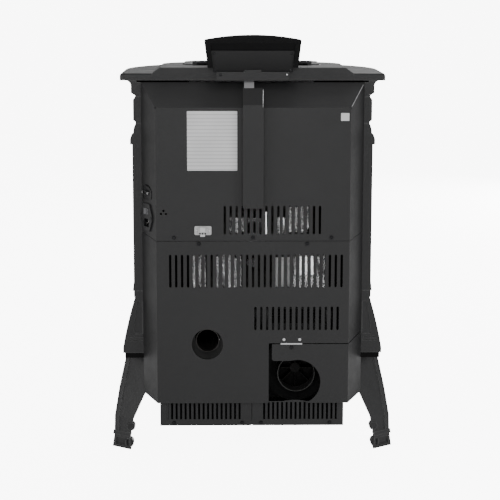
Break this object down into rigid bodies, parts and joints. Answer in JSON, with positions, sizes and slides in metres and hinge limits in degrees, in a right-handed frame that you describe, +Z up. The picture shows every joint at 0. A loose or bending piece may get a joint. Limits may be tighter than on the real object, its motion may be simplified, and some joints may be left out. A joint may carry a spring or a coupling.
{
  "type": "pellet stove",
  "caption": "Free-standing pellet stove with a bow-fronted cast body on splayed legs, folded slotted rear casing, flue, air intake, hopper, feed screw, fire door and tilting console.",
  "frame": {"origin": "on the floor, under the middle of the stove's bounding box", "axes": "+Z up, the front of the stove faces -Y, its back with the flue and the inlet faces +Y, and +X is its right-hand side seen from the front"},
  "size_m": [0.6032, 0.515, 0.881],
  "materials": {
    "cast_black": "satin, painted",
    "sheet_black": "fine textured powder coat",
    "fire_steel": "dull, heat darkened",
    "zinc_steel": "satin",
    "screw_black": "satin",
    "ribbon_grey": "matt",
    "moulded_black": "satin",
    "rocker_black": "gloss",
    "terminal_plate": "satin",
    "board_green": "satin",
    "fire_glass": "clear",
    "rope_seal": "woven",
    "handle_black": "satin",
    "console_plastic": "satin",
    "console_plate": "satin",
    "button_grey": "satin"
  },
  "bodies": {
    "stove": {"ash_housing": "fire_steel", "auger_motor": "zinc_steel", "auger_tube": "zinc_steel", "baffle": "fire_steel", "base_plate": "cast_black", "base_skirt": "cast_black", "blower_housing": "zinc_steel", "blower_motor": "zinc_steel", "burn_pot": "fire_steel", "cable_duct": "sheet_black", "console_bracket": "sheet_black", "control_board": "board_green", "cornice": "cast_black", "cover_bracket": "sheet_black", "cover_screws": "screw_black", "door_hinge_pins": "zinc_steel", "exhaust_cover": "sheet_black", "exhaust_pipe": "fire_steel", "firebox": "fire_steel", "frieze": "cast_black", "front_left_leg": "cast_black", "front_right_leg": "cast_black", "hopper": "zinc_steel", "igniter": "zinc_steel", "inlet_pins": "zinc_steel", "intake_pipe": "fire_steel", "left_side_casting": "cast_black", "left_skirt_panel": "sheet_black", "lower_rear_cover": "sheet_black", "pellet_chute": "fire_steel", "power_inlet": "moulded_black", "rear_left_leg": "cast_black", "rear_right_leg": "cast_black", "ribbon_cable": "ribbon_grey", "right_side_casting": "cast_black", "right_skirt_panel": "sheet_black", "serial_port": "zinc_steel", "smoke_channel": "fire_steel", "smoke_fan_housing": "fire_steel", "smoke_fan_motor": "zinc_steel", "terminal_block": "terminal_plate", "top_plate": "cast_black", "underbody_box": "sheet_black", "upper_rear_cover": "sheet_black"},
    "door": {"door": "cast_black", "door_glass": "fire_glass", "door_gasket": "rope_seal"},
    "door_handle": {"door_handle": "handle_black"},
    "lid": {"hopper_lid": "cast_black"},
    "drawer": {"ash_drawer": "zinc_steel"},
    "console": {"console_shell": "console_plastic", "console_back_plate": "console_plate"},
    "up_key": {"up_button": "button_grey"},
    "down_key": {"down_button": "button_grey"},
    "menu_key": {"menu_button": "button_grey"},
    "power_key": {"power_button": "button_grey"},
    "rocker": {"rocker_switch": "rocker_black"},
    "smoke_impeller": {"smoke_fan_impeller": "zinc_steel"},
    "blower_wheel": {"blower_rotor": "zinc_steel"},
    "feed_screw": {"auger_screw": "zinc_steel"}
  },
  "joints": [
    {"name": "door_hinge", "type": "hinge", "parent": "stove", "child": "door", "pos_m": [0.19457, -0.14577, 0.5], "axis": [0, 0, 1], "range_deg": [0, 110]},
    {"name": "door_handle_turn", "type": "hinge", "parent": "door", "child": "door_handle", "pos_m": [-0.17391, -0.169, 0.51], "axis": [0.682, 0.7314, 0], "range_deg": [0, 75]},
    {"name": "lid_hinge", "type": "hinge", "parent": "stove", "child": "lid", "pos_m": [0, 0.0845, 0.819], "axis": [-1, 0, 0], "range_deg": [0, 85]},
    {"name": "drawer_slide", "type": "slide", "parent": "stove", "child": "drawer", "axis": [0, -1, 0], "range_m": [0, 0.18]},
    {"name": "console_tilt", "type": "hinge", "parent": "stove", "child": "console", "pos_m": [0, 0.1895, 0.803], "axis": [-1, 0, 0], "range_deg": [0, 15]},
    {"name": "up_key_press", "type": "slide", "parent": "console", "child": "up_key", "axis": [0, 0.749, -0.6626], "range_m": [0, 0.001], "stiffness_N_per_m": 400},
    {"name": "down_key_press", "type": "slide", "parent": "console", "child": "down_key", "axis": [0, 0.749, -0.6626], "range_m": [0, 0.001], "stiffness_N_per_m": 400},
    {"name": "menu_key_press", "type": "slide", "parent": "console", "child": "menu_key", "axis": [0, 0.749, -0.6626], "range_m": [0, 0.001], "stiffness_N_per_m": 400},
    {"name": "power_key_press", "type": "slide", "parent": "console", "child": "power_key", "axis": [0, 0.749, -0.6626], "range_m": [0, 0.001], "stiffness_N_per_m": 400},
    {"name": "rocker_flip", "type": "hinge", "parent": "stove", "child": "rocker", "pos_m": [0.21914, 0.20473, 0.5185], "axis": [0, 0, 1], "range_deg": [-6, 6]},
    {"name": "smoke_fan_spin", "type": "hinge", "parent": "stove", "child": "smoke_impeller", "pos_m": [-0.094, 0.1035, 0.16], "axis": [0, 1, 0], "continuous": true},
    {"name": "blower_spin", "type": "hinge", "parent": "stove", "child": "blower_wheel", "pos_m": [-0.0925, 0.1775, 0.297], "axis": [1, 0, 0], "continuous": true},
    {"name": "feed_screw_spin", "type": "hinge", "parent": "stove", "child": "feed_screw", "pos_m": [0, 0.1315, 0.485], "axis": [0, -0.8176, 0.5758], "continuous": true}
  ]
}
